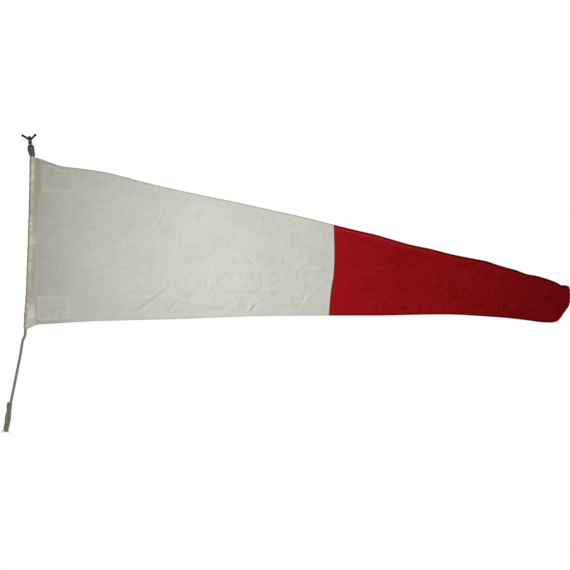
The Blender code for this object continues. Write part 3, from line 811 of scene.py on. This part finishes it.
def patch(name, ranges, side, tone):
    """A reinforcing patch with a turned edge; side is -1 on the front and 1 on the back."""
    u, v = unit_grid(56, 44)
    x, z = patch_place(ranges, u, v)
    inset = np.minimum(np.minimum(u, 1 - u) * PATCH_SIZE[0], np.minimum(v, 1 - v) * PATCH_SIZE[1])
    under = BUNTING / 2 + (0.1 if side < 0 else 0.8) * MM
    over = under + PATCH_THICK * (0.35 + 0.65 * smooth_between(inset, 0.0, 1.5))
    over -= 0.2 * MM * hump(inset, 4.0, 2.0)
    near, far = (-over, -under) if side < 0 else (under, over)
    # The tone holds the creases' painted shade; the darker tint right at the edge is painted shadow along it
    return closed_sheet(name, x, z, near, far, "white_bunting",
                        tone + 0.2 * hump(inset, 5, 5) + crease_shade(x, z),
                        0.28 + 0.3 * hump(inset, 6, 6) - 0.5 * hump(inset, 0, 1.2))


def seam_band(name):
    """The felled seam on the white side of the colour change, doubled over the bunting on both faces."""
    u, v = unit_grid(11, 150)
    foot_z, top_z = SEAM_FOOT[1] + 1.2 * MM, SEAM_TOP[1] - 1.2 * MM
    z = foot_z + (top_z - foot_z) * v
    x = line_x(SEAM_LINE, z) - SEAM_WIDTH * (1 - u) + 0.8 * MM
    inset = np.minimum(u, 1 - u) * SEAM_WIDTH / MM
    swell = BUNTING / 2 + 0.1 * MM + 0.4 * MM * smooth_between(inset, 0.0, 1.5)
    return closed_sheet(name, x, z, -swell, swell, "white_bunting", 0.66 + 0.15 * hump(inset, 0, 1.5), 0.15)


def stitches_on(points, up):
    """(verts, faces) of one thread stitch between each pair of neighbouring points, lying on the cloth."""
    a = round_angles(5)[:, None]
    pieces = []
    for start, end, normal in zip(points, points[1:], up):
        axis = unit(end - start)
        side = unit(np.cross(axis, normal))
        rings = []
        for share, size in STITCH_SHAPE:
            lift = STITCH_RADIUS * (0.9 - 2.2 * share**2)
            centre = (start + end) / 2 + axis * share * STITCH_LENGTH + normal * lift
            rings.append(centre + STITCH_RADIUS * size * (np.cos(a) * side + 0.8 * np.sin(a) * normal))
        pieces.append((np.array(rings), tube_faces(len(rings), len(a))))
    return pieces


def cloth_stitches(line, height, back_height=None):
    """Stitches along an (x, z) line of cloth on both faces, height off its middle."""
    p = resample(line, step=STITCH_PITCH)
    middle, out = cloth_frame(p[:, 0], p[:, 1])
    return (stitches_on(middle - out * height, -out)
            + stitches_on(middle + out * (back_height or height), out))


def bend(piece):
    """Bake a piece's transform into its mesh."""
    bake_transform(piece)


def patch_stitches(ranges):
    """Rows of stitches along the sides of a patch, on both faces."""
    u, v = np.linspace(0.035, 0.965, 20), np.linspace(0.045, 0.955, 20)
    sewn = []
    for side in ((u, v[0]), (u, v[-1]), (u[0], v), (u[-1], v)):
        line = stacked(*patch_place(ranges, *np.broadcast_arrays(*side)))
        sewn += cloth_stitches(line, BUNTING / 2 + 0.62 * MM, BUNTING / 2 + 1.32 * MM)
    return sewn


def hem_stitches(top, foot):
    """Rows of stitches along the top and the foot hem, a little inside their folded layers."""
    return (cloth_stitches(shifted(top, -(TOP_HEM - 2 * MM)), FLAT_FACE, FOLDED_FACE)
            + cloth_stitches(shifted(foot, FOOT_HEM - 2 * MM), FLAT_FACE, FOLDED_FACE))


def make_panel(colour, x, z, tone, tint):
    panel = closed_sheet(f"{colour}_bunting_panel", x, z, -BUNTING / 2, BUNTING / 2, f"{colour}_bunting",
                         tone, tint)
    return stand_in(panel, f"{colour}_panel")


def make_white_half():
    x, z = white_grid(320, 160)
    panel = make_panel("white", x, z, white_tone(x, z), white_tint(x, z))
    top = along_edge(TOP_EDGE, HEADING_LINE[1][0] - 2 * MM, SEAM_TOP[0] - 0.3 * MM)
    foot = along_edge(FOOT_EDGE, HEADING_LINE[0][0] - 2 * MM, SEAM_FOOT[0] - 0.3 * MM)
    pieces = [
        hem("white_top_hem", "white_top_tabling", top, TOP_HEM, "white_bunting", 0.55, 0.55, right=True),
        hem("white_foot_hem", "white_foot_tabling", foot, FOOT_HEM, "white_bunting", 0.55, 0.15),
        stand_in(seam_band("felled_seam"), "panel_seam")]
    for corner, ranges, tone in (("upper", UPPER_PATCH, 0.12), ("lower", LOWER_PATCH, 0.36)):
        for face, side in (("front", -1), ("back", 1)):
            piece = patch(f"{corner}_{face}_patch", ranges, side, tone)
            pieces.append(stand_in(piece, f"{corner}_patch_{face}"))
    sewn = hem_stitches(top[40:], foot[40:])
    seam_z = np.linspace(SEAM_FOOT[1] + 2 * MM, SEAM_TOP[1] - 2 * MM, 60)
    for inset in (2.4 * MM, SEAM_WIDTH - 3.2 * MM):
        line = stacked(line_x(SEAM_LINE, seam_z) - inset, seam_z)
        sewn += cloth_stitches(line, BUNTING / 2 + 0.5 * MM)
    sewn += patch_stitches(UPPER_PATCH) + patch_stitches(LOWER_PATCH)
    pieces.append(merged("white_stitching", sewn, "white_bunting", 0.75, 0.1))
    for piece in [panel, *pieces]:
        bend(piece)


def make_red_half():
    x, z = red_grid(260, 120)
    faded = 0.5 * hump(height_at(TOP_EDGE, x) - z, 8.5 * MM, 3.5 * MM) * smooth_between(x, 1.62, 1.30)
    panel = make_panel("red", x, z, red_tone(x, z), faded - edge_soil_and_shade(x, z, 1.1, 0.5, 2.8 * MM))
    top = along_edge(TOP_EDGE, SEAM_TOP[0] + 0.3 * MM, FLY_EDGE[-1][0] - 1 * MM)
    foot = along_edge(FOOT_EDGE, SEAM_FOOT[0] + 0.3 * MM, FLY_EDGE[0][0])
    fly = resample(FLY_EDGE, step=3 * MM)
    pieces = [hem("red_top_hem", "red_top_tabling", top, TOP_HEM, "red_bunting", 0.7, 0.4, right=True),
              hem("red_foot_hem", "red_foot_tabling", foot, FOOT_HEM, "red_bunting", 0.6, 0.3),
              hem("fly_hem", "fly_tabling", fly, FLY_HEM, "red_bunting", 0.45, 0.4)]
    sewn = hem_stitches(top, foot)
    for inset in (FLY_HEM - 2 * MM, FLY_HEM - 6 * MM):
        sewn += cloth_stitches(shifted(fly[6:-4], inset), FLAT_FACE, FOLDED_FACE)
    pieces.append(merged("red_stitching", sewn, "red_bunting", 0.8, 0.0))
    for piece in [panel, *pieces]:
        bend(piece)


# --- heading


def heading_outline(v, pinch):
    """Closed outline of the canvas heading, as (x, y, z): flat double canvas, and the tube over the rope.

    v runs from foot to top, and pinch from 0 to 1 is how far the tube closes on the rope at its ends.
    """
    level = HEADING_FOOT_EDGE[1][1] + (HEADING_TOP_EDGE[0][1] - HEADING_FOOT_EDGE[1][1]) * v
    rope_x = line_x(ROPE_LINE, level)
    fold = line_x(HEADING_LINE, level)
    join = rope_x + SLEEVE_RADIUS + 2 * MM
    flat_x = join + (fold - join) * np.array([1.0, 0.93, 0.8, 0.6, 0.4, 0.2, 0.06])
    ripple = 0.16 * MM * np.sin(level * 230 + flat_x * 300) + 0.12 * MM * np.sin(level * 515 - flat_x * 700)
    half = CANVAS_HALF * np.array([0.35, 0.95, 1.0, 1.0, 1.0, 1.0, 1.0])
    gather = 1 + 0.045 * math.sin(level * 190) + 0.03 * math.sin(level * 410 + 1.3)
    gather += 0.02 * math.sin(level * 930)
    angle = np.radians(np.linspace(38, 322, 25))
    radius = SLEEVE_RADIUS * gather * (1 - 0.22 * pinch**2) * (1 + 0.025 * np.sin(level * 640 + 2.5 * angle))
    front = stacked(flat_x, -(half + ripple))
    back = stacked(flat_x, half - ripple)[::-1]
    tube = stacked(rope_x + radius * np.cos(angle), -0.93 * radius * np.sin(angle))
    outline = np.concatenate([front, tube, back])
    x = outline[:, 0]
    z = height_at(HEADING_FOOT_EDGE, x) * (1 - v) + height_at(HEADING_TOP_EDGE, x) * v
    return stacked(x, outline[:, 1], z), rope_x, fold


def heading_shades(outline, rope_x, fold, painted_highlight, stain):
    """(tone, tint) round the heading: painted highlights on the tube and at listed places, khaki on the flat,
    and painted shade along the tube's outer edge and in its join with the flat.
    """
    x, z = outline[:, 0] - rope_x, outline[:, 2]
    flat = smooth_between(x, SLEEVE_RADIUS - 1 * MM, SLEEVE_RADIUS + 2 * MM)
    # Painted highlight along the crest of the tube, of a strength that varies with height, then the listed
    # painted highlights
    tone = (1 - flat) * (0.34 + painted_highlight * hump(x, 2.2 * MM, 4.2 * MM))
    tone += flat * np.interp(z, *np.array(FLAT_TONE).T)
    for height, reach, across, half_width, strength in PAINTED_HIGHLIGHTS:
        tone += (strength + 0.5 * painted_highlight) * hump(z, height, reach) * hump(x, across, half_width)
    tone += flat * 0.06 * smooth_between(x / (fold - rope_x), 0.75, 1.0)
    upper = smooth_between(z, -0.200, -0.180)
    # The tint: greenish above, painted shade along the tube's outer edge and in its join with the flat, and a
    # stain band beside it
    tint = flat * 0.55 * upper - 0.55 * hump(x, -SLEEVE_RADIUS, 1.8 * MM)
    tint -= 0.25 * hump(x, SLEEVE_RADIUS + 1 * MM, 1.2 * MM)
    tint -= (0.10 + 0.10 * stain) * hump(x, SLEEVE_RADIUS + 6 * MM, 5 * MM)
    return np.clip(tone, 0, 1), np.clip(tint, -1, 1)


def make_heading():
    rng = np.random.default_rng(RANDOM_SEED + 1)
    steps = np.linspace(0, 1, 275)
    # Strengths of the tube's painted highlight and of the stain beside it, varying at random along the
    # heading
    painted_highlight, stain = (np.interp(steps, np.linspace(0, 1, n), rng.uniform(-1, 1, n)) for n in (62, 45))
    rings = []
    for v, shine, brown in zip(steps, painted_highlight, stain):
        outline, rope_x, fold = heading_outline(v, max(0.0, 1 - min(v, 1 - v) * 45))
        uv = stacked(run_of(outline[:, :2]), outline[:, 2])
        rings.append((outline, uv, *heading_shades(outline, rope_x, fold, 0.22 * shine, brown)))
    verts, uv, tone, tint = (np.array(part) for part in zip(*rings))
    sleeve = new_mesh("heading_canvas_sleeve", verts, tube_faces(*verts.shape[:2]), "heading_canvas", uv,
                      tone, tint)
    stand_in(sleeve, "heading_sleeve", "hoist")
    rows = np.linspace(HEADING_FOOT_EDGE[1][1] + 16 * MM, HEADING_TOP_EDGE[0][1] - 12 * MM,
                       int(HEADING_SEWN / STITCH_PITCH))
    fold = line_x(HEADING_LINE, rows)
    sewn = []
    for x in (line_x(ROPE_LINE, rows) + SLEEVE_RADIUS + 3.0 * MM, fold - 3.2 * MM, fold - 8.5 * MM):
        for side in (-1, 1):
            points = stacked(x, np.full(len(x), side * (CANVAS_HALF + 0.1 * MM)), rows)
            sewn += stitches_on(points, np.tile([0.0, float(side), 0.0], (len(x), 1)))
    thread = merged("heading_stitching", sewn, "heading_canvas", 0.62, 0.0)
    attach(thread, "hoist")


# --- rope and cord


def make_seizing(name, route, top, foot, rope_radius, tones, slot_name, body, node_name):
    """Round turns of twine that bind the two legs of an eye, tones being those of its foot and its top."""
    path = resample(route, count=400)
    turns = int((top - foot) / (1.88 * TWINE_RADIUS))
    reach = rope_radius + 0.6 * TWINE_RADIUS
    angle = round_angles(40)
    pieces = []
    for k in range(turns):
        z = foot + (top - foot) * (k + 0.5) / turns
        legs = path[np.abs(path[:, 1] - z) < 1.2 * MM, 0]
        left, right = legs.min(), legs.max()
        side = np.sign(np.round(np.cos(angle), 2))
        centre = (left + right) / 2 + side * (right - left) / 2
        uneven = reach + 0.12 * MM * np.sin(3 * angle + k * 1.7)
        turn = stacked(centre + uneven * np.cos(angle), uneven * np.sin(angle),
                       z + 0.35 * MM * np.sin(angle + k))
        pieces.append(ring_tube(turn, TWINE_RADIUS))
    made = merged(name, pieces, slot_name, np.repeat(np.linspace(*tones, turns), len(pieces[0][0])))
    return stand_in(made, node_name, body)


def make_head():
    """The eye of the bolt rope round the clip, served with tight turns of twine, and its seizing."""
    path = in_space(resample(HEAD_ROUTE, step=SERVICE_PITCH / 5))
    run = run_of(path)
    angle = round_angles(20)
    ridge = np.abs(np.sin(np.pi * run[:, None] / SERVICE_PITCH + angle / 2))
    size = end_taper(run, run[-1], HEAD_RADIUS, 0.3)[:, None] * (HEAD_RADIUS - 0.45 * MM + 0.5 * MM * ridge)
    # Painted shade: the tone is darker in the grooves between the turns of service
    stand_in(tube_mesh("head_eye_service", path, lambda i, at: polar(size[i], angle), "dark_twine",
                       0.05 + 0.45 * ridge), "bolt_rope", "hoist")
    make_seizing("head_seizing_turns", HEAD_ROUTE, SEIZING_TOP, SEIZING_FOOT, HEAD_RADIUS, (0.7, 0.35),
                 "dark_twine", "hoist", "head_seizing")


def frayed_ends(name, root, strays, node_name):
    """Loose yarns that curl away from a point. strays are (direction along x, along z, length)."""
    rng = np.random.default_rng(RANDOM_SEED + len(name))
    angle = round_angles(6)
    pieces = []
    for dx, dz, length in strays:
        start = np.array([root[0], rng.uniform(-1.2, 1.2) * MM, root[1]])
        end = start + np.array([dx, rng.uniform(-0.3, 0.3), dz]) * length
        bow = np.array([dz, rng.uniform(-0.5, 0.5), -dx]) * length * rng.uniform(-0.25, 0.25)
        curve = np.linspace(0, 1, 12)[:, None]
        path = (1 - curve) ** 2 * start + 2 * curve * (1 - curve) * ((start + end) / 2 + bow) + curve**2 * end
        rings = sweep(path, lambda i, at: polar(0.8 * MM * (1 - 0.06 * i), angle))
        pieces.append((rings, tube_faces(12, 6)))
    return stand_in(merged(name, pieces, "hemp_rope"), node_name, "tail")


def make_tail():
    path = in_space(resample(TAIL_ROUTE, step=1.3 * MM))
    line = laid_rope("tail_rope", path, np.ones(len(path)), ROPE_RADIUS, 0.95)
    stand_in(line, "tail_line")
    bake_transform(line)
    loop = resample(TAIL_EYE_ROUTE, step=1.3 * MM)
    eye = laid_rope("tail_eye_rope", in_space(loop), loop[:, 2], ROPE_RADIUS, 0.4)
    stand_in(eye, "tail_eye", "tail")
    seizing = make_seizing("tail_seizing_turns", [p[:2] for p in TAIL_EYE_ROUTE], TAIL_SEIZING_TOP,
                           TAIL_SEIZING_FOOT, TAIL_NECK * ROPE_RADIUS, (0.4, 0.4), "hemp_rope", "tail",
                           "tail_seizing")
    left_strays = [(-0.72, -0.70, 0.018), (-0.60, -0.80, 0.015), (-0.85, -0.5, 0.012), (-0.45, -0.9, 0.013)]
    right_strays = [(0.30, -0.95, 0.014), (0.55, -0.85, 0.011), (0.0, -1.0, 0.012)]
    left = frayed_ends("left_frayed_ends", (-0.0905, -1.0165), left_strays, "left_twine_end")
    right = frayed_ends("right_frayed_ends", (-0.0772, -1.0180), right_strays, "right_twine_end")


def overhand_knot(name, centre, axis, radius):
    """A small knot of cord turned round an axis."""
    t = round_angles(90)
    out = 2 + np.cos(3 * t)
    turns = stacked(out * np.cos(2 * t), out * np.sin(2 * t), 2.8 * np.sin(3 * t))
    verts, faces = ring_tube(turns * 0.22 * radius, 0.46 * radius, 10)
    across = np.array([-axis[2], 0, axis[0]])
    return merged(name, [(verts @ np.stack([across, [0, 1, 0], axis]) + centre, faces)], "black_cord")


def make_hanging_cord():
    path = in_space(resample(HANG_ROUTE, step=0.7 * MM))
    run = run_of(path)
    angle = round_angles(16)
    lay = run[:, None] / (0.9 * MM)
    braid = np.maximum(np.sin(8 * angle + lay), np.sin(8 * angle - lay))
    size = HANG_RADIUS * (0.96 + 0.04 * braid)
    # Painted shade: the tone is darker in the grooves of the braid
    cord = tube_mesh("hanging_cord_braid", path, lambda i, at: polar(size[i], angle), "black_cord",
                     0.4 + 0.3 * braid)
    stand_in(cord, "hanging_cord", "clip")
    for end, before, node_name in ((0, 1, "left_stopper_knot"), (-1, -2, "right_stopper_knot")):
        low, high = (np.array(c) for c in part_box(node_name))
        axis = unit(path[end] - path[before])
        knot = overhand_knot(f"{node_name}_turns", (low + high) / 2, axis, (high[0] - low[0]) / 2)
        stand_in(knot, node_name, "clip")


# --- scene


def add_light(name, place, size, watts, target):
    lamp = bpy.data.lights.new(name, "AREA")
    lamp.shape = "DISK"
    lamp.size = size
    lamp.energy = watts
    obj = bpy.data.objects.new(name, lamp)
    bpy.context.scene.collection.objects.link(obj)
    obj.location = place
    obj.visible_camera = False
    toward = np.array(target, float) - np.array(place, float)
    flat = math.hypot(toward[0], toward[1])
    obj.rotation_euler = (math.pi / 2 + math.atan2(toward[2], flat), 0, math.atan2(-toward[0], toward[1]))


def make_studio():
    scene = bpy.context.scene
    camera = bpy.data.objects.new("camera", bpy.data.cameras.new("camera"))
    scene.collection.objects.link(camera)
    camera.data.sensor_width = 36
    camera.data.lens = 85
    away = VIEW_WIDTH * camera.data.lens / camera.data.sensor_width
    camera.location = (VIEW_CENTRE[0], -away, VIEW_CENTRE[1])
    camera.rotation_euler = (math.pi / 2, 0, 0)
    scene.camera = camera

    world = bpy.data.worlds.new("studio")
    scene.world = world
    world.use_nodes = True
    tree = world.node_tree
    background = tree.nodes["Background"]
    seen = node(tree, "LightPath").outputs["Is Camera Ray"]
    tree.links.new(ramp(tree, seen, 0.0, 1.0, 0.10, 1.0), background.inputs["Strength"])
    background.inputs["Color"].default_value = (1, 1, 1, 1)

    add_light("front", (0.66, -1.25, -0.42), 0.35, 14.3, (0.66, 0, -0.42))
    add_light("behind", (0.9, 2.4, -0.4), 1.5, 25, (0.9, 0, -0.4))

    bpy.ops.mesh.primitive_cylinder_add(vertices=128, radius=1.38, depth=0.02, location=(0.9, 0, -1.85))
    floor = bpy.context.object
    floor.name = "floor"
    pale, tree = start_material("floor", 0.8)
    shader_input(tree, "Base Color").default_value = (0.86, 0.86, 0.85, 1)
    floor.data.materials.append(pale)
    scene.view_settings.view_transform = "Standard"


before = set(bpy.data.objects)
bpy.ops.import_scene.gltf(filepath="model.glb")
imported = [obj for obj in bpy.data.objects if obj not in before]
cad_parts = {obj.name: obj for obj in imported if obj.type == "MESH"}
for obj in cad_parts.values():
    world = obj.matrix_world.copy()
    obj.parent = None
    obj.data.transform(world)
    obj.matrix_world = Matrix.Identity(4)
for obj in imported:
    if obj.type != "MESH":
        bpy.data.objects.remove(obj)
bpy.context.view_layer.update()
MATERIALS = make_materials()
make_studio()
make_tail()
make_hanging_cord()
make_heading()
make_head()
make_white_half()
make_red_half()
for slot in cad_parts["flag_clip"].material_slots:
    slot.material = MATERIALS["cast_metal"]
